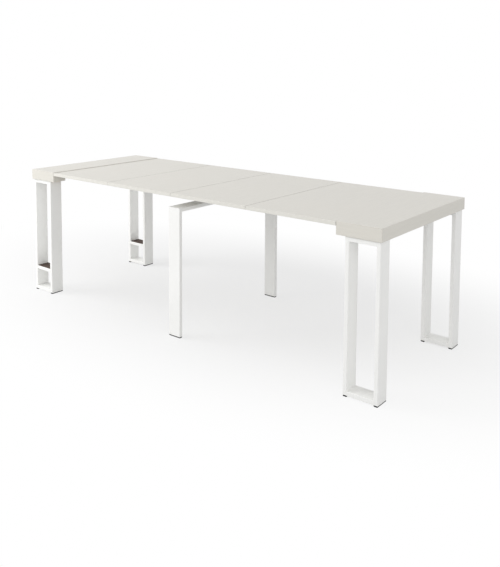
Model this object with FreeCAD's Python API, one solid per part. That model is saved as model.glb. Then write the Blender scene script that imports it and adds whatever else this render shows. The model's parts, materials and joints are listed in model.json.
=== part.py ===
"""Extending console table, pulled out to its full length with its four loose leaves laid in.

The origin is on the floor below the middle of the open table. +X runs along the table to the fixed
head, -Y is the front and +Z is up. Sizes are in millimetres.
"""
import FreeCAD, Part
import math
import os

# Table top: two thick heads and the leaves between them
width = 880.0
height = 770.0
head_depth = 220.0
head_height = 60.0
board_thickness = 18.0
board_edge_bevel = 1.0
leaf_count = 4
leaf_length = 500.0
leaf_thickness = 18.0
leaf_seam = 1.6
leaf_edge_bevel = 1.0
leaf_pin_radius = 4.0
leaf_pin_length = 24.0
leaf_pin_offset = 300.0
leaf_pin_clearance = 0.3
leaf_pin_glue_line = 0.05

# Flat steel tube of the leg frames and the centre frame
tube_width = 80.0
tube_thickness = 20.0
tube_wall = 1.5
tube_inner_radius = 1.0
mitre_gap = 0.1

# Leg frames, one under each corner
leg_inset = 8.0
leg_block_width = 70.0
seat_thickness = 2.0
seat_margin = 2.0
foot_height = 6.0
foot_margin = 0.5
foot_chamfer = 1.0
rack_height = 155.0
rack_pad_thickness = 3.0
rack_pad_margin = 1.0
rack_pad_chamfer = 0.8

# Centre frame, which stands between the leg frames when the table is closed
centre_offset = 17.0
centre_inset = 10.0
centre_drop = 18.0
centre_clearance = 2.0
spacer_length = 60.0

# Bolts of the leg frames and the centre frame
bolt_radius = 3.0
bolt_clearance = 0.2
bolt_shank_sides = 8
bolt_head_sides = 6
bolt_head_radius = 5.8
bolt_head_height = 4.0
leg_bolt_margin = 15.0
leg_bolt_grip = 30.0
spacer_bolt_margin = 15.0
spacer_bolt_grip = 10.0

# Telescopic guides: aluminium bars side by side, each with its tongue in the groove of the one before
guide_clearance = 3.0
guide_lift = 1.0
guide_side_gap = 62.0
bar_end_clearance = 12.0
bar_least_overlap = 100.0
bar_gap = 2.0
bar_wall = 2.0
bar_void_margin = 1.0
groove_lip = 2.5
groove_depth = 7.0
groove_height = 18.0
mouth_height = 10.0
glide_length = 30.0
glide_wall = 1.5
glide_clearance = 0.3

# Places along the table
closed_length = 2 * head_depth
leaf_run = leaf_count * leaf_length
end_x = (closed_length + leaf_run) / 2
joint_x = end_x - head_depth
leaf_pitch = (leaf_run - leaf_seam) / leaf_count
frame_depth = head_depth - leg_inset - tube_width / 2 - centre_clearance

# Places across the table
half_width = width / 2
board_inside_y = half_width - board_thickness
block_inside_y = board_inside_y - leg_block_width
guide_outer_y = block_inside_y - guide_side_gap
leg_outer_y = half_width - leg_inset
leg_inner_y = leg_outer_y - tube_width

# Levels above the floor
head_bottom = height - head_height
board_under = height - board_thickness
guide_top = board_under - guide_clearance
guide_bottom = head_bottom + guide_lift
leaf_top = guide_top + leaf_thickness
leg_top = head_bottom - seat_thickness
centre_top = head_bottom - centre_drop

# Tube and bar sections
tube_radius = tube_wall + tube_inner_radius
bar_void_width = 2 * (bolt_radius + bar_void_margin)
bar_width = bar_wall + bar_void_width + bar_wall + groove_depth + groove_lip
bar_pitch = bar_width + bar_gap
bar_mid_z = (guide_bottom + guide_top) / 2
glide_space = glide_wall + glide_clearance
neck_height = mouth_height - 2 * glide_space
neck_length = bar_gap + groove_lip + glide_space
tongue_height = groove_height - 2 * glide_space
tongue_reach = neck_length + groove_depth - 2 * glide_space

# Bars of one guide: an even number of strokes, so that the middle bar carries the centre frame
bar_length = closed_length - 2 * (board_thickness + bar_end_clearance)
half_strokes = math.ceil(leaf_run / 2 / (bar_length - bar_least_overlap))
middle_bar = half_strokes + 1
last_bar = 2 * half_strokes + 1
centre_travel = joint_x - centre_offset

# How near to a plane the ends of an edge are that lies in it
plane_tolerance = 1e-6


def box(x0, x1, y0, y1, z0, z1):
    return Part.makeBox(x1 - x0, y1 - y0, z1 - z0, FreeCAD.Vector(x0, y0, z0))


def polygon(points):
    return Part.makePolygon(points + points[:1])


def mirrored_x(shape):
    return shape.mirror(FreeCAD.Vector(0, 0, 0), FreeCAD.Vector(1, 0, 0))


def mirrored_y(shape):
    return shape.mirror(FreeCAD.Vector(0, 0, 0), FreeCAD.Vector(0, 1, 0))


def both_sides(near_shapes):
    """The near pieces and their mirror images on the far side."""
    return near_shapes + [mirrored_y(shape) for shape in near_shapes]


def edges_at(shape, axis, places):
    """Edges that lie in one of the planes axis = place."""
    found = []
    for edge in shape.Edges:
        ends = [vertex.Point[axis] for vertex in edge.Vertexes]
        if any(all(abs(end - place) < plane_tolerance for end in ends) for place in places):
            found.append(edge)
    return found


def mitred_board(outer, inner):
    """Board between its outer and inner faces, mitred where the inner face is the smaller one."""
    outlines = [outer, inner]
    for i in range(len(outer)):
        outlines.append([outer[i - 1], outer[i], inner[i], inner[i - 1]])
    return Part.Solid(Part.Shell([Part.Face(polygon(outline)) for outline in outlines]))


def head_envelope():
    block = box(joint_x, end_x, -half_width, half_width, head_bottom, height)
    return block.makeChamfer(board_edge_bevel, block.Edges)


def head_top():
    inner_end_x = end_x - board_thickness
    outer = [(joint_x, -half_width), (end_x, -half_width), (end_x, half_width), (joint_x, half_width)]
    inner = [(joint_x, -board_inside_y), (inner_end_x, -board_inside_y),
             (inner_end_x, board_inside_y), (joint_x, board_inside_y)]
    outer_face = [FreeCAD.Vector(x, y, height) for x, y in outer]
    inner_face = [FreeCAD.Vector(x, y, board_under) for x, y in inner]
    return mitred_board(outer_face, inner_face).common(head_envelope())


def head_end_apron():
    outer = [(-half_width, head_bottom), (half_width, head_bottom), (half_width, height), (-half_width, height)]
    inner = [(-board_inside_y, head_bottom), (board_inside_y, head_bottom),
             (board_inside_y, board_under), (-board_inside_y, board_under)]
    outer_face = [FreeCAD.Vector(end_x, y, z) for y, z in outer]
    inner_face = [FreeCAD.Vector(end_x - board_thickness, y, z) for y, z in inner]
    return mitred_board(outer_face, inner_face).common(head_envelope())


def head_front_apron():
    inner_end_x = end_x - board_thickness
    outer = [(joint_x, head_bottom), (end_x, head_bottom), (end_x, height), (joint_x, height)]
    inner = [(joint_x, head_bottom), (inner_end_x, head_bottom),
             (inner_end_x, board_under), (joint_x, board_under)]
    outer_face = [FreeCAD.Vector(x, -half_width, z) for x, z in outer]
    inner_face = [FreeCAD.Vector(x, -board_inside_y, z) for x, z in inner]
    return mitred_board(outer_face, inner_face).common(head_envelope())


def head_return():
    """Short board that closes the near inner corner of a head, beside the guide."""
    board = box(joint_x, joint_x + board_thickness, -board_inside_y, -block_inside_y, head_bottom, board_under)
    return board.common(head_envelope())


def leg_frame_x():
    """Inner and outer X of the leg frames under the fixed head."""
    outer_x = end_x - leg_inset
    return outer_x - frame_depth, outer_x


def leg_bolt_places():
    """Bolts of the near leg frame, up through its top rail beside the stiles."""
    inner_x, outer_x = leg_frame_x()
    from_side = tube_thickness + leg_bolt_margin
    middle_y = -(leg_inner_y + leg_outer_y) / 2
    return [(inner_x + from_side, middle_y), (outer_x - from_side, middle_y)]


def prism(sides, radius, x, y, z0, z1):
    """Upright prism about the axis at x, y, with its corners at the radius and a flat side towards +X."""
    turns = [2 * math.pi * (i + 0.5) / sides for i in range(sides)]
    corners = [FreeCAD.Vector(x + radius * math.cos(turn), y + radius * math.sin(turn), z0) for turn in turns]
    return Part.Face(polygon(corners)).extrude(FreeCAD.Vector(0, 0, z1 - z0))


def bolt_holes(places, z0, z1):
    return [prism(bolt_shank_sides, bolt_radius + bolt_clearance, x, y, z0, z1) for x, y in places]


def bolt(x, y, under_head, tip):
    """Hexagon head bolt that points up; its hidden shank is faceted, and so are the holes for it."""
    head = prism(bolt_head_sides, bolt_head_radius, x, y, under_head - bolt_head_height, under_head)
    return head.fuse(prism(bolt_shank_sides, bolt_radius, x, y, under_head, tip)).removeSplitter()


def leg_block():
    block = box(joint_x + board_thickness, end_x - board_thickness, -board_inside_y, -block_inside_y,
                head_bottom, board_under)
    return block.cut(bolt_holes(leg_bolt_places(), head_bottom, head_bottom + leg_bolt_grip + bolt_clearance))


def leg_seat():
    """Thin plate between a leg frame and the head."""
    inner_x, outer_x = leg_frame_x()
    plate = box(inner_x + seat_margin, outer_x - seat_margin, -leg_outer_y + seat_margin,
                -leg_inner_y - seat_margin, leg_top, head_bottom)
    return plate.cut(bolt_holes(leg_bolt_places(), leg_top, head_bottom))


def mitred_frame(x0, x1, y0, y1, z0, z1, closed):
    """Upright frame of flat tubes: two stiles, a top rail and, if closed, a bottom rail.

    The stiles end a fit-up gap short of the mitres, where the welds run.
    """
    opening_z0 = z0 + tube_thickness if closed else z0
    bottom_wall = tube_wall if closed else 0.0
    opening = box(x0 + tube_thickness, x1 - tube_thickness, y0, y1, opening_z0, z1 - tube_thickness)
    frame = box(x0, x1, y0, y1, z0, z1).cut(opening)
    long_edges = edges_at(frame, 1, [y0, y1])
    if not closed:
        cut_ends = edges_at(frame, 2, [z0])
        long_edges = [edge for edge in long_edges if not any(edge.isSame(end) for end in cut_ends)]
    frame = frame.makeFillet(tube_radius, long_edges)
    island = tube_thickness - tube_wall
    bore = box(x0 + tube_wall, x1 - tube_wall, y0 + tube_wall, y1 - tube_wall, z0 + bottom_wall, z1 - tube_wall)
    bore = bore.cut(box(x0 + island, x1 - island, y0, y1, opening_z0 - bottom_wall, z1 - island))
    frame = frame.cut(bore)
    inner_x0, inner_x1, inner_z1 = x0 + tube_thickness, x1 - tube_thickness, z1 - tube_thickness
    trim = mitre_gap * math.sqrt(2)
    trim_z0 = trim if closed else 0.0
    wedges = [
        [(x0, z0 + trim_z0), (inner_x0, opening_z0 + trim_z0), (inner_x0, inner_z1 - trim), (x0, z1 - trim)],
        [(x1, z0 + trim_z0), (inner_x1, opening_z0 + trim_z0), (inner_x1, inner_z1 - trim), (x1, z1 - trim)],
        [(x0, z1), (inner_x0, inner_z1), (inner_x1, inner_z1), (x1, z1)],
    ]
    if closed:
        wedges.append([(x0, z0), (inner_x0, opening_z0), (inner_x1, opening_z0), (x1, z0)])
    tubes = []
    for outline in wedges:
        wedge = Part.Face(polygon([FreeCAD.Vector(x, y0, z) for x, z in outline]))
        wedge = wedge.extrude(FreeCAD.Vector(0, y1 - y0, 0))
        tubes.append(frame.common(wedge).Solids[0])
    return tubes


def leg_frame():
    """Welded frame of the near leg under the fixed head."""
    inner_x, outer_x = leg_frame_x()
    tubes = mitred_frame(inner_x, outer_x, -leg_outer_y, -leg_inner_y, foot_height, leg_top, True)
    holes = bolt_holes(leg_bolt_places(), leg_top - tube_thickness, leg_top)
    top_rail = tubes[2].cut(holes)
    return tubes[:2] + [top_rail] + tubes[3:]


def rack_bar():
    """Shelf bar between the stiles of the near leg frame, on which the leaves stand when put away."""
    inner_x, outer_x = leg_frame_x()
    x0, x1 = inner_x + tube_thickness, outer_x - tube_thickness
    y0, y1 = -leg_outer_y, -leg_inner_y
    bar = box(x0, x1, y0, y1, rack_height - tube_thickness, rack_height)
    long_edges = [edge for edge in edges_at(bar, 1, [y0, y1]) if edge.Length > tube_thickness]
    bar = bar.makeFillet(tube_radius, long_edges)
    bore = box(x0, x1, y0 + tube_wall, y1 - tube_wall, rack_height - tube_thickness + tube_wall,
               rack_height - tube_wall)
    return bar.cut(bore)


def rack_pad():
    inner_x, outer_x = leg_frame_x()
    side = tube_thickness + rack_pad_margin
    flat = tube_radius + rack_pad_margin
    top_z = rack_height + rack_pad_thickness
    pad = box(inner_x + side, outer_x - side, -leg_outer_y + flat, -leg_inner_y - flat, rack_height, top_z)
    return pad.makeChamfer(rack_pad_chamfer, edges_at(pad, 2, [top_z]))


def foot(x0, x1, y0, y1):
    """Plastic foot pad under the end of a tube that covers x0 to x1 and y0 to y1."""
    pad = box(x0 + foot_margin, x1 - foot_margin, y0 + foot_margin, y1 - foot_margin, 0, foot_height)
    flat_edges = edges_at(pad, 2, [0, foot_height])
    corners = [edge for edge in pad.Edges if not any(edge.isSame(flat) for flat in flat_edges)]
    pad = pad.makeChamfer(tube_radius - foot_margin, corners)
    return pad.makeChamfer(foot_chamfer, edges_at(pad, 2, [0]))


def leg_feet():
    inner_x, outer_x = leg_frame_x()
    stiles = [(inner_x, inner_x + tube_thickness), (outer_x - tube_thickness, outer_x)]
    return [foot(x0, x1, -leg_outer_y, -leg_inner_y) for x0, x1 in stiles]


def leg_bolts():
    return [bolt(x, y, leg_top - tube_thickness, head_bottom + leg_bolt_grip) for x, y in leg_bolt_places()]


def bar_travel(bar):
    """How far a bar has been pulled out of the closed table, towards the sliding head."""
    if bar <= middle_bar:
        return centre_travel * (bar - 1) / half_strokes
    return centre_travel + (leaf_run - centre_travel) * (bar - middle_bar) / half_strokes


def bar_ends(bar):
    middle_x = joint_x - bar_travel(bar)
    return middle_x - bar_length / 2, middle_x + bar_length / 2


def bar_face_y(bar):
    """Y of the outer face of a bar of the near guide."""
    return -guide_outer_y + (bar - 1) * bar_pitch


def section(bar, x, outline):
    """Face across a bar of the near guide, from (inward, up) points from its outer face and middle height."""
    face_y = bar_face_y(bar)
    return Part.Face(polygon([FreeCAD.Vector(x, face_y + s, bar_mid_z + z) for s, z in outline]))


def rectangle(s0, s1, half_height):
    return [(s0, -half_height), (s1, -half_height), (s1, half_height), (s0, half_height)]


def bar_outline(has_tongue, has_groove):
    half = (guide_top - guide_bottom) / 2
    lip_s = bar_width - groove_lip
    back_s = lip_s - groove_depth
    right_side = [(bar_width, -mouth_height / 2), (lip_s, -mouth_height / 2), (lip_s, -groove_height / 2),
                  (back_s, -groove_height / 2), (back_s, groove_height / 2), (lip_s, groove_height / 2),
                  (lip_s, mouth_height / 2), (bar_width, mouth_height / 2)]
    left_side = [(0, neck_height / 2), (-neck_length, neck_height / 2), (-neck_length, tongue_height / 2),
                 (-tongue_reach, tongue_height / 2), (-tongue_reach, -tongue_height / 2),
                 (-neck_length, -tongue_height / 2), (-neck_length, -neck_height / 2), (0, -neck_height / 2)]
    outline = [(0, -half), (bar_width, -half)]
    outline += right_side if has_groove else []
    outline += [(bar_width, half), (0, half)]
    outline += left_side if has_tongue else []
    return outline


def guide_bar(bar):
    """Extruded bar of the near guide, with a hollow web, a T tongue outwards and a T groove inwards."""
    x0, x1 = bar_ends(bar)
    along = FreeCAD.Vector(x1 - x0, 0, 0)
    solid = section(bar, x0, bar_outline(bar > 1, bar < last_bar)).extrude(along)
    void_half = (guide_top - guide_bottom) / 2 - bar_wall
    void = section(bar, x0, rectangle(bar_wall, bar_wall + bar_void_width, void_half)).extrude(along)
    return solid.cut(void)


def tongue_glide(bar):
    """Nylon shoe on the trailing end of a bar's tongue, which runs in the groove of the bar before."""
    x1 = bar_ends(bar)[1]
    groove_inner_s = -bar_gap - groove_lip
    outer = rectangle(groove_inner_s - groove_depth + glide_clearance, groove_inner_s - glide_clearance,
                      groove_height / 2 - glide_clearance)
    shoe = section(bar, x1 - glide_length, outer)
    shoe = shoe.cut(section(bar, x1 - glide_length, rectangle(-tongue_reach, -neck_length, tongue_height / 2)))
    shoe = shoe.cut(section(bar, x1 - glide_length, rectangle(-neck_length, 0, neck_height / 2)))
    return shoe.extrude(FreeCAD.Vector(glide_length, 0, 0)).Solids[0]


def groove_glide(bar):
    """Nylon shoe in the leading end of a bar's groove, round the tongue of the next bar."""
    x0 = bar_ends(bar)[0]
    lip_s = bar_width - groove_lip
    shoe = section(bar, x0, rectangle(lip_s - groove_depth, lip_s, groove_height / 2))
    room = rectangle(bar_pitch - tongue_reach - glide_clearance, bar_pitch - neck_length + glide_clearance,
                     tongue_height / 2 + glide_clearance)
    shoe = shoe.cut(section(bar, x0, room))
    shoe = shoe.cut(section(bar, x0, rectangle(bar_pitch - neck_length, bar_width,
                                               neck_height / 2 + glide_clearance)))
    return shoe.extrude(FreeCAD.Vector(glide_length, 0, 0)).Solids[0]


def bar_glides(bar):
    glides = []
    if bar > 1:
        glides.append(tongue_glide(bar))
    if bar < last_bar:
        glides.append(groove_glide(bar))
    return glides


def guide_packer(bar, x0, x1):
    """Strip that packs an end bar of the near guide out from the top board of its head."""
    face_y = bar_face_y(bar)
    return box(x0, x1, face_y, face_y + bar_width, guide_top, board_under)


def spacer_bolt_places():
    """Bolts of the near spacer of the centre frame, up into the hollow web of the middle bar."""
    y = bar_face_y(middle_bar) + bar_wall + bar_void_width / 2
    from_middle = spacer_length / 2 - spacer_bolt_margin
    return [(centre_offset - from_middle, y), (centre_offset + from_middle, y)]


def middle_guide_bar():
    bar = guide_bar(middle_bar)
    return bar.cut(bolt_holes(spacer_bolt_places(), guide_bottom, guide_bottom + bar_wall))


def centre_frame():
    """Welded arch of flat tube, its broad faces square to the table's length."""
    side_y = half_width - centre_inset
    tubes = mitred_frame(-side_y, side_y, -tube_width / 2, tube_width / 2, foot_height, centre_top, False)
    for tube in tubes:
        tube.rotate(FreeCAD.Vector(0, 0, 0), FreeCAD.Vector(0, 0, 1), 90)
        tube.translate(FreeCAD.Vector(centre_offset, 0, 0))
    near_places = spacer_bolt_places()
    places = near_places + [(x, -y) for x, y in near_places]
    beam = tubes[2].cut(bolt_holes(places, centre_top - tube_thickness, centre_top))
    return tubes[:2] + [beam]


def centre_spacer():
    face_y = bar_face_y(middle_bar)
    half_length = spacer_length / 2
    block = box(centre_offset - half_length, centre_offset + half_length, face_y, face_y + bar_width,
                centre_top, guide_bottom)
    return block.cut(bolt_holes(spacer_bolt_places(), centre_top, guide_bottom))


def centre_bolts():
    under_head = centre_top - tube_thickness
    return [bolt(x, y, under_head, guide_bottom + spacer_bolt_grip) for x, y in spacer_bolt_places()]


def centre_foot():
    side_y = -half_width + centre_inset
    return foot(centre_offset - tube_width / 2, centre_offset + tube_width / 2, side_y, side_y + tube_thickness)


def leaf_ends(leaf):
    """X of both ends of a leaf; leaf 1 lies beside the sliding head, and all seams have the same width."""
    seam_x = -joint_x + (leaf - 1) * leaf_pitch
    return seam_x + leaf_seam, seam_x + leaf_pitch


def pin_bores(x0, x1, radius):
    z = leaf_top - leaf_thickness / 2
    along = FreeCAD.Vector(1, 0, 0)
    return [Part.makeCylinder(radius, x1 - x0, FreeCAD.Vector(x0, y, z), along)
            for y in (-leaf_pin_offset, leaf_pin_offset)]


def leaf_pins(leaf):
    middle_x = -joint_x + leaf * leaf_pitch + leaf_seam / 2
    return pin_bores(middle_x - leaf_pin_length / 2, middle_x + leaf_pin_length / 2, leaf_pin_radius)


def leaf_board(leaf):
    """Loose leaf, with bores for the pins it carries and for those of the leaf before."""
    x0, x1 = leaf_ends(leaf)
    board = box(x0, x1, -half_width, half_width, guide_top, leaf_top)
    board = board.makeChamfer(leaf_edge_bevel, edges_at(board, 2, [guide_top, leaf_top]))
    bore_depth = (leaf_pin_length - leaf_seam) / 2 + leaf_pin_clearance
    if leaf < leaf_count:
        board = board.cut(pin_bores(x1 - bore_depth, x1, leaf_pin_radius + leaf_pin_glue_line))
    if leaf > 1:
        board = board.cut(pin_bores(x0, x0 + bore_depth, leaf_pin_radius + leaf_pin_clearance))
    return board


def head_nodes():
    """Solids of the fixed head and its legs, by the second half of their node names."""
    front_apron = head_front_apron()
    near_leg = leg_frame()
    return {
        "head_top": [head_top()],
        "head_end_apron": [head_end_apron()],
        "head_front_apron": [front_apron],
        "head_back_apron": [mirrored_y(front_apron)],
        "head_returns": both_sides([head_return()]),
        "leg_blocks": both_sides([leg_block()]),
        "leg_seats": both_sides([leg_seat()]),
        "near_leg": near_leg,
        "far_leg": [mirrored_y(tube) for tube in near_leg],
        "feet": both_sides(leg_feet()),
        "leg_bolts": both_sides(leg_bolts()),
    }


def guide_node(bar, kind):
    """Node name of a bar or its glides, counted from the nearer head towards the middle."""
    if bar == middle_bar:
        return f"middle_guide_{kind}"
    if bar < middle_bar:
        return f"fixed_guide_{kind}_{bar}"
    return f"sliding_guide_{kind}_{last_bar + 1 - bar}"


def all_nodes():
    """Every node of the table, as a list of solids by name."""
    nodes = {}
    for name, solids in head_nodes().items():
        nodes["fixed_" + name] = solids
        nodes["sliding_" + name] = [mirrored_x(solid) for solid in solids]
    near_rack_bar = mirrored_x(rack_bar())
    nodes["sliding_near_leg"].append(near_rack_bar)
    nodes["sliding_far_leg"].append(mirrored_y(near_rack_bar))
    nodes["rack_pads"] = both_sides([mirrored_x(rack_pad())])
    packer_x0, packer_x1 = joint_x + board_thickness, bar_ends(1)[1]
    nodes["fixed_guide_packers"] = both_sides([guide_packer(1, packer_x0, packer_x1)])
    nodes["sliding_guide_packers"] = both_sides([guide_packer(last_bar, -packer_x1, -packer_x0)])
    for bar in range(1, last_bar + 1):
        solid = middle_guide_bar() if bar == middle_bar else guide_bar(bar)
        nodes[guide_node(bar, "bars")] = both_sides([solid])
        nodes[guide_node(bar, "glides")] = both_sides(bar_glides(bar))
    nodes["centre_frame"] = centre_frame()
    nodes["centre_spacers"] = both_sides([centre_spacer()])
    nodes["centre_bolts"] = both_sides(centre_bolts())
    nodes["centre_feet"] = both_sides([centre_foot()])
    for leaf in range(1, leaf_count + 1):
        nodes[f"leaf_{leaf}"] = [leaf_board(leaf)]
        if leaf < leaf_count:
            nodes[f"leaf_{leaf}_pins"] = leaf_pins(leaf)
    return nodes


os.makedirs("parts", exist_ok=True)
for name, solids in all_nodes().items():
    shape = solids[0] if len(solids) == 1 else Part.makeCompound(solids)
    shape.exportStep(f"parts/{name}.step")
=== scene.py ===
"""Looks of the extending console table: its finishes, its bolts, a pale floor, studio light and the camera.

Sizes are in metres, in the frame of the part: +X to the fixed head, -Y to the front and +Z up.
"""
import bmesh
import bpy
import json
import math
from mathutils import Color, Matrix, Vector


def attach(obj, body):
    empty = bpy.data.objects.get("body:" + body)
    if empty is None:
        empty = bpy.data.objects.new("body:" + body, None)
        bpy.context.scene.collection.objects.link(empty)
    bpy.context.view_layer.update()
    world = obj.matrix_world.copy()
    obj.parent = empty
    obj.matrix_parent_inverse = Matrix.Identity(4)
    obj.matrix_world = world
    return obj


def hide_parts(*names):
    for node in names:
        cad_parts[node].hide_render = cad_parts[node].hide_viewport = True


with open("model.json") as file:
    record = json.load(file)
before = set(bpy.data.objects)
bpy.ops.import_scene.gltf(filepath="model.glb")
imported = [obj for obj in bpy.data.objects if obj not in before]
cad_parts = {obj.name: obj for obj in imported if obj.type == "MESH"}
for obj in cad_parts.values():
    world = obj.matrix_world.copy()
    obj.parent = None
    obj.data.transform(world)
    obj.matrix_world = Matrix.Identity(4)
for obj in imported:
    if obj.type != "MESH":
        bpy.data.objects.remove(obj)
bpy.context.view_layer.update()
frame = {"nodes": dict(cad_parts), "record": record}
node_slots = {row["node"]: row["material_slot"] for row in frame["record"]["subparts"]}

# Camera, fitted to the table's edges in the photograph; its focal length and optical centre are in pixels
image_width = 500
image_height = 567
camera_place = (2.5529, -3.0053, 1.4496)
camera_yaw = math.radians(39.38)
camera_pitch = math.radians(4.75)
camera_roll = math.radians(0.26)
focal_pixels = 701.5
principal_x = 237.0
principal_y = 120.0
sensor_millimetres = 36.0

# Light
white = (1.0, 1.0, 1.0, 1.0)
sky_strength = 0.7
backdrop_strength = 1.0
lamp_aim = (0.0, 0.0, 0.6)
lamp_size = 3.2
key_place = (-4.2, -2.9, 2.7)
key_power = 168.0
fill_place = (4.4, -3.2, 2.4)
fill_power = 38.0

# Floor, which fades to white away from the middle of the table's shadow
floor_radius = 40.0
floor_sides = 96
floor_colour = (0.75, 0.75, 0.75, 1.0)
floor_roughness = 0.9
floor_specular = 0.1
shadow_middle = (-0.15, 0.4, 0.0)
shadow_reach = (2.7, 1.6, 1.0)
shadow_core = 0.27
floor_white_share = 0.6

# Bolts; points of a bolt node that are nearer than bolt_apart, seen from above, belong to one bolt
bolt_bodies = {
    "fixed_leg_bolts": "fixed_head",
    "sliding_leg_bolts": "sliding_head",
    "centre_bolts": "centre_stage",
}
bolt_apart = 0.0125
bolt_sides = 6
bolt_steps = 24
bolt_chamfer_angle = math.radians(30.0)
bolt_washer_height = 0.0006
bolt_washer_share = 0.95
bolt_tip_chamfer = 0.0006
bolt_smooth_angle = math.radians(35.0)

# Stretch of a noise along the axes of the table
even_stretch = (1.0, 1.0, 1.0)
grain_stretch = {"x": (0.06, 1.0, 1.0), "y": (1.0, 0.06, 1.0)}
die_line_stretch = (0.004, 1.0, 1.0)
chip_stretch = (1.0, 1.0, 1.6)

# How far the roughness of a moulded plastic strays, and how steep a face is that has a leaf's edge band,
# and also its painted seam shade
plastic_roughness_spread = 0.08
band_and_seam_shade_start = 0.5
band_and_seam_shade_end = 0.7

# Full tone of a display colour
full_tone = 255


class Nodes:
    """The node tree of a material or of the world, with short ways to add to it."""

    def __init__(self, owner):
        owner.use_nodes = True
        self.tree = owner.node_tree

    def node(self, kind, inputs=None, **settings):
        made = self.tree.nodes.new(kind)
        for key, value in settings.items():
            setattr(made, key, value)
        for key, value in (inputs or {}).items():
            self.feed(made.inputs[key], value)
        return made

    def feed(self, socket, value):
        """Sets a socket to a value, or links it to another socket."""
        if isinstance(value, bpy.types.NodeSocket):
            self.tree.links.new(value, socket)
        else:
            socket.default_value = value

    def larger(self, first, second):
        made = self.node("ShaderNodeMath", {0: first, 1: second}, operation="MAXIMUM")
        return made.outputs["Value"]

    def seen_directly(self):
        """1 for rays from the camera, a mirror or glass, and 0 for the light that falls on the table."""
        path = self.node("ShaderNodeLightPath").outputs
        mirrored = self.larger(path["Is Glossy Ray"], path["Is Transmission Ray"])
        return self.larger(path["Is Camera Ray"], mirrored)


class Finish(Nodes):
    """A material that is built up from a principled shader."""

    def __init__(self, name):
        self.material = bpy.data.materials.new(name)
        super().__init__(self.material)
        self.shader = self.tree.nodes["Principled BSDF"]

    def set(self, **values):
        """Sets or links inputs of the shader; a name has _ in place of each space."""
        for key, value in values.items():
            self.feed(self.shader.inputs[key.replace("_", " ")], value)

    def place(self, stretch):
        """Coordinates in metres, stretched along each axis."""
        place = self.node("ShaderNodeTexCoord").outputs["Object"]
        return self.node("ShaderNodeMapping", {"Vector": place, "Scale": stretch}).outputs["Vector"]

    def noise(self, scale, stretch=even_stretch, detail=3.0, roughness=0.5):
        made = self.node("ShaderNodeTexNoise", {"Vector": self.place(stretch), "Scale": scale,
                                                "Detail": detail, "Roughness": roughness})
        return made.outputs["Fac"]

    def spread(self, value, low, high, start=0.3, end=0.7):
        """A value that runs from start to end, mapped to run from low to high."""
        made = self.node("ShaderNodeMapRange", {"Value": value, "From Min": start, "From Max": end,
                                                "To Min": low, "To Max": high})
        return made.outputs["Result"]

    def mix(self, amount, first, second):
        made = self.node("ShaderNodeMix", data_type="RGBA")
        self.feed(made.inputs["Factor"], amount)
        self.feed(made.inputs["A"], first)
        self.feed(made.inputs["B"], second)
        return made.outputs["Result"]

    def shades(self, noise, dark, light):
        """Colour that runs from dark to light with a noise."""
        return self.mix(self.spread(noise, low=0.0, high=1.0), dark, light)

    def bump(self, height, strength, distance):
        made = self.node("ShaderNodeBump", {"Height": height, "Strength": strength, "Distance": distance})
        return made.outputs["Normal"]


def colour(red, green, blue):
    """Linear colour of a display colour from 0 to 255."""
    shares = Color((red / full_tone, green / full_tone, blue / full_tone))
    return (*shares.from_srgb_to_scene_linear(), 1.0)


def laminate(name, grain):
    """Satin laminate, warm light grey, with a faint grain along one axis."""
    finish = Finish(name)
    along = grain_stretch[grain]
    streaks = finish.noise(scale=90.0, stretch=along, detail=4.0, roughness=0.6)
    pores = finish.noise(scale=900.0, stretch=along, detail=2.0)
    clouds = finish.noise(scale=2.2)
    tone = finish.shades(streaks, dark=colour(214, 211, 203), light=colour(219, 216, 208))
    tone = finish.mix(finish.spread(clouds, low=0.0, high=0.5), tone, colour(218, 214, 205))
    finish.set(Base_Color=tone, Roughness=finish.spread(pores, low=0.3, high=0.42))
    finish.set(Normal=finish.bump(pores, strength=0.12, distance=0.0002))
    return finish


def banded_laminate_with_seam_shade(name, grain):
    """Laminate of a leaf: its long edges have a lighter band, and its ends carry painted shade, a greyer
    tone that darkens the seams between leaves.
    """
    finish = laminate(name, grain)
    normal = finish.node("ShaderNodeTexCoord").outputs["Normal"]
    sides = finish.node("ShaderNodeSeparateXYZ", {"Vector": normal}).outputs
    patches = finish.noise(scale=40.0)
    long_band = finish.mix(patches, colour(221, 219, 212), colour(226, 224, 217))
    # Painted shade: the leaf ends take a greyer tone, so that the seams between leaves read as shadowed
    # lines
    painted_seam_shade = finish.mix(patches, colour(176, 173, 166), colour(184, 181, 174))
    tone = finish.shader.inputs["Base Color"].links[0].from_socket
    for side, band in (("Y", long_band), ("X", painted_seam_shade)):
        steepness = finish.node("ShaderNodeMath", {0: sides[side]}, operation="ABSOLUTE")
        share = finish.spread(steepness.outputs["Value"], low=0.0, high=1.0, start=band_and_seam_shade_start, end=band_and_seam_shade_end)
        tone = finish.mix(share, tone, band)
    finish.set(Base_Color=tone)
    return finish


def powder_coat(name):
    """White powder coat with a fine orange peel."""
    finish = Finish(name)
    peel = finish.noise(scale=620.0, detail=2.0)
    clouds = finish.noise(scale=5.0)
    tone = finish.shades(clouds, dark=colour(243, 243, 241), light=colour(246, 246, 244))
    finish.set(Base_Color=tone, Roughness=finish.spread(peel, low=0.36, high=0.46))
    finish.set(Normal=finish.bump(peel, strength=0.1, distance=0.0003))
    return finish


def moulded_plastic(name, roughness, dark, light):
    """Moulded plastic with a fine spark-eroded grain."""
    finish = Finish(name)
    grain = finish.noise(scale=1500.0, detail=2.0)
    clouds = finish.noise(scale=25.0)
    smoothest = roughness - plastic_roughness_spread
    roughest = roughness + plastic_roughness_spread
    finish.set(Base_Color=finish.shades(clouds, dark, light))
    finish.set(Roughness=finish.spread(grain, low=smoothest, high=roughest))
    finish.set(Normal=finish.bump(grain, strength=0.2, distance=0.0002))
    return finish


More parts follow.
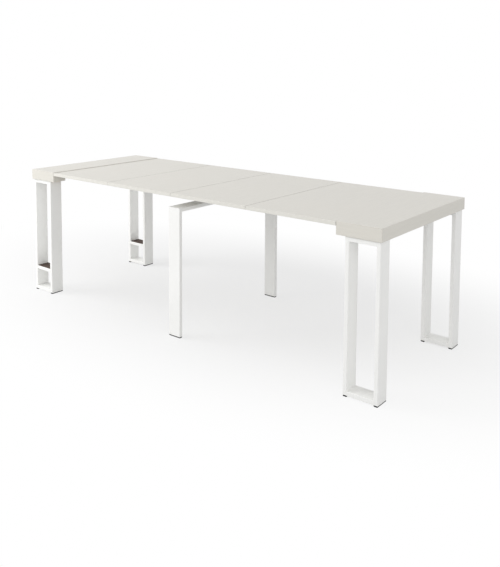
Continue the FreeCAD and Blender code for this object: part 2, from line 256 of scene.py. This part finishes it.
def rubber(name, dark, light):
    """Matt rubber sheet with a dusty surface."""
    finish = Finish(name)
    dust = finish.noise(scale=160.0, detail=5.0, roughness=0.7)
    grain = finish.noise(scale=2200.0)
    finish.set(Base_Color=finish.shades(dust, dark, light))
    finish.set(Roughness=finish.spread(dust, low=0.72, high=0.92))
    finish.set(Normal=finish.bump(grain, strength=0.3, distance=0.0002))
    return finish


def extruded_aluminium(name):
    """Clear anodised aluminium with the fine lines of the die along X."""
    finish = Finish(name)
    lines = finish.noise(scale=1400.0, stretch=die_line_stretch)
    clouds = finish.noise(scale=9.0)
    tone = finish.shades(clouds, dark=colour(196, 197, 200), light=colour(208, 209, 211))
    finish.set(Base_Color=tone, Roughness=finish.spread(lines, low=0.28, high=0.44), Metallic=1.0)
    finish.set(Normal=finish.bump(lines, strength=0.08, distance=0.0002))
    return finish


def zinc_steel(name):
    """Zinc plated steel, slightly mottled."""
    finish = Finish(name)
    mottle = finish.noise(scale=420.0, detail=4.0, roughness=0.65)
    tone = finish.shades(mottle, dark=colour(168, 169, 168), light=colour(196, 197, 194))
    finish.set(Base_Color=tone, Roughness=finish.spread(mottle, low=0.25, high=0.42), Metallic=1.0)
    finish.set(Normal=finish.bump(mottle, strength=0.08, distance=0.0002))
    return finish


def bare_board(name):
    """Bare particle board: pressed chips of several shades."""
    finish = Finish(name)
    place = finish.place(chip_stretch)
    chips = finish.node("ShaderNodeTexVoronoi", {"Vector": place, "Scale": 420.0}).outputs
    shade = finish.noise(scale=60.0, detail=4.0)
    tone = finish.mix(chips["Color"], colour(176, 146, 106), colour(206, 178, 136))
    tone = finish.mix(finish.spread(shade, low=0.0, high=0.5), tone, colour(188, 158, 117))
    finish.set(Base_Color=tone, Roughness=finish.spread(shade, low=0.75, high=0.9))
    finish.set(Normal=finish.bump(chips["Distance"], strength=0.3, distance=0.0004))
    return finish


def finishes():
    """One finish per slot of the record, and two more for the laminate of the aprons and the leaves."""
    return {
        "laminate": laminate("laminate_grain_y", "y"),
        "apron": laminate("laminate_grain_x", "x"),
        "leaf": banded_laminate_with_seam_shade("banded_laminate_with_seam_shade", "y"),
        "powder_coat": powder_coat("white_powder_coat"),
        "foot_plastic": moulded_plastic("foot_plastic", roughness=0.7,
                                        dark=colour(18, 18, 19), light=colour(24, 24, 24)),
        "rack_pad": rubber("rack_pad_rubber", dark=colour(70, 56, 50), light=colour(88, 72, 65)),
        # Painted shade: the seat plates under the heads are a gasket whose dark grey also stands in for the
        # shadow line between head and leg frame
        "seat_rubber": rubber("seat_rubber", dark=colour(66, 66, 66), light=colour(80, 80, 79)),
        "guide_aluminium": extruded_aluminium("guide_aluminium"),
        "glide_nylon": moulded_plastic("glide_nylon", roughness=0.4,
                                       dark=colour(226, 224, 214), light=colour(236, 234, 226)),
        "block_wood": bare_board("bare_board"),
        "zinc_steel": zinc_steel("zinc_steel"),
        "pin_plastic": moulded_plastic("pin_plastic", roughness=0.45,
                                       dark=colour(196, 190, 176), light=colour(206, 200, 188)),
    }


def dress_nodes(materials):
    """Gives every node of the part its finish."""
    for name, piece in frame["nodes"].items():
        slot = node_slots[name]
        if name.endswith(("front_apron", "back_apron")):
            slot = "apron"
        elif slot == "laminate" and name.startswith("leaf"):
            slot = "leaf"
        piece.data.materials.clear()
        piece.data.materials.append(materials[slot])


def bolt_outlines(node):
    """The points of each bolt of a node, as one list of places per bolt."""
    outlines = []
    piece = frame["nodes"][node]
    for vertex in piece.data.vertices:
        place = piece.matrix_world @ vertex.co
        near = [outline for outline in outlines if (outline[0].xy - place.xy).length < bolt_apart]
        if near:
            near[0].append(place)
        else:
            outlines.append([place])
    return outlines


def bolt_rings(outline):
    """Rings of points from the chamfered hexagon head up to the tip of one bolt."""
    low = Vector(min(place[axis] for place in outline) for axis in range(3))
    high = Vector(max(place[axis] for place in outline) for axis in range(3))
    middle = (low.xy + high.xy) / 2
    corner = max((place.xy - middle).length for place in outline)
    head = [place for place in outline if (place.xy - middle).length > corner * bolt_washer_share]
    under_head = max(place.z for place in head)
    shank = max((place.xy - middle).length for place in outline if place.z > under_head)
    flat = corner * math.cos(math.pi / bolt_sides)
    round_head = flat * bolt_washer_share
    washer = under_head - bolt_washer_height

    def hexagon(turn):
        side = 2 * math.pi / bolt_sides
        return flat / math.cos(turn - side * round(turn / side))

    def ring(radius_at, height_at):
        points = []
        for step in range(bolt_steps):
            turn = 2 * math.pi * step / bolt_steps
            radius = radius_at(turn)
            x = middle.x + radius * math.cos(turn)
            y = middle.y + radius * math.sin(turn)
            points.append((x, y, height_at(radius)))
        return points

    def circle(size, height):
        return ring(lambda turn: size, lambda radius: height)

    return [
        circle(round_head, low.z),
        ring(hexagon, lambda radius: low.z + (radius - round_head) * math.tan(bolt_chamfer_angle)),
        ring(hexagon, lambda radius: washer),
        circle(round_head, washer),
        circle(round_head, under_head),
        circle(shank, under_head),
        circle(shank, high.z - bolt_tip_chamfer),
        circle(shank - bolt_tip_chamfer, high.z),
    ]


def make_bolts(node, body, material):
    """Bolts with chamfered heads, washer faces and round shanks in place of a node's plain ones."""
    shape = bmesh.new()
    for outline in bolt_outlines(node):
        rings = [[shape.verts.new(point) for point in ring] for ring in bolt_rings(outline)]
        shape.faces.new(reversed(rings[0]))
        shape.faces.new(rings[-1])
        for lower, upper in zip(rings, rings[1:]):
            for step in range(bolt_steps):
                shape.faces.new((lower[step - 1], lower[step], upper[step], upper[step - 1]))
    mesh = bpy.data.meshes.new(f"fine_{node}")
    shape.to_mesh(mesh)
    shape.free()
    mesh.shade_smooth()
    mesh.set_sharp_from_angle(angle=bolt_smooth_angle)
    mesh.materials.append(material)
    bolts = bpy.data.objects.new(f"fine_{node}", mesh)
    bpy.context.scene.collection.objects.link(bolts)
    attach(bolts, body)
    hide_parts(node)


def pale_floor(name):
    """Pale floor with the table's shadow, which turns into the white backdrop further out."""
    finish = Finish(name)
    place = finish.node("ShaderNodeTexCoord").outputs["Object"]
    from_middle = finish.node("ShaderNodeVectorMath", {0: place, 1: shadow_middle}, operation="SUBTRACT")
    shares = finish.node("ShaderNodeVectorMath", {0: from_middle.outputs["Vector"], 1: shadow_reach},
                         operation="DIVIDE")
    reach = finish.node("ShaderNodeVectorMath", {0: shares.outputs["Vector"]}, operation="LENGTH")
    fade = finish.node("ShaderNodeMapRange", {"Value": reach.outputs["Value"], "From Min": shadow_core,
                                              "To Min": floor_white_share},
                       interpolation_type="SMOOTHSTEP")
    amount = finish.node("ShaderNodeMath", {0: fade.outputs["Result"], 1: finish.seen_directly()},
                         operation="MULTIPLY")
    finish.set(Base_Color=floor_colour, Roughness=floor_roughness, Specular_IOR_Level=floor_specular)
    backdrop = finish.node("ShaderNodeEmission", {"Color": white, "Strength": backdrop_strength})
    blend = finish.node("ShaderNodeMixShader", {0: amount.outputs["Value"],
                                                1: finish.shader.outputs["BSDF"],
                                                2: backdrop.outputs["Emission"]})
    output = finish.tree.nodes["Material Output"]
    finish.feed(output.inputs["Surface"], blend.outputs["Shader"])
    return finish


def make_floor():
    """Wide round floor below the feet."""
    mesh = bpy.data.meshes.new("floor")
    shape = bmesh.new()
    bmesh.ops.create_circle(shape, cap_ends=True, radius=floor_radius, segments=floor_sides)
    shape.to_mesh(mesh)
    shape.free()
    mesh.materials.append(pale_floor("pale_floor").material)
    floor = bpy.data.objects.new("floor", mesh)
    bpy.context.scene.collection.objects.link(floor)


def make_world():
    """White backdrop, which lights the table less than it shows."""
    world = bpy.data.worlds.new("studio")
    bpy.context.scene.world = world
    nodes = Nodes(world)
    strength = nodes.node("ShaderNodeMapRange", {"Value": nodes.seen_directly(), "To Min": sky_strength,
                                                 "To Max": backdrop_strength})
    background = nodes.tree.nodes["Background"]
    nodes.feed(background.inputs["Color"], white)
    nodes.feed(background.inputs["Strength"], strength.outputs["Result"])


def make_lamp(name, place, power):
    """Large soft light that faces the table and is not mirrored in it."""
    data = bpy.data.lights.new(name, "AREA")
    data.size = lamp_size
    data.energy = power
    lamp = bpy.data.objects.new(name, data)
    lamp.location = place
    lamp.visible_glossy = False
    lamp.rotation_euler = (Vector(lamp_aim) - Vector(place)).to_track_quat("-Z", "Y").to_euler()
    bpy.context.scene.collection.objects.link(lamp)


def make_camera():
    """Camera of the photograph, with its optical centre above the middle of the picture."""
    data = bpy.data.cameras.new("camera")
    data.sensor_width = sensor_millimetres
    data.lens = focal_pixels / image_height * sensor_millimetres
    data.shift_x = (image_width / 2 - principal_x) / image_height
    data.shift_y = (principal_y - image_height / 2) / image_height
    camera = bpy.data.objects.new("camera", data)
    camera.location = camera_place
    turned = Matrix.Rotation(camera_yaw, 3, "Z")
    tilted = Matrix.Rotation(math.pi / 2 - camera_pitch, 3, "X")
    rolled = Matrix.Rotation(camera_roll, 3, "Z")
    camera.rotation_euler = (turned @ tilted @ rolled).to_euler()
    bpy.context.scene.collection.objects.link(camera)
    bpy.context.scene.camera = camera


bpy.context.scene.view_settings.view_transform = "Standard"
materials = {slot: finish.material for slot, finish in finishes().items()}
dress_nodes(materials)
for node, body in bolt_bodies.items():
    make_bolts(node, body, materials[node_slots[node]])
make_floor()
make_world()
make_lamp("key", key_place, key_power)
make_lamp("fill", fill_place, fill_power)
make_camera()
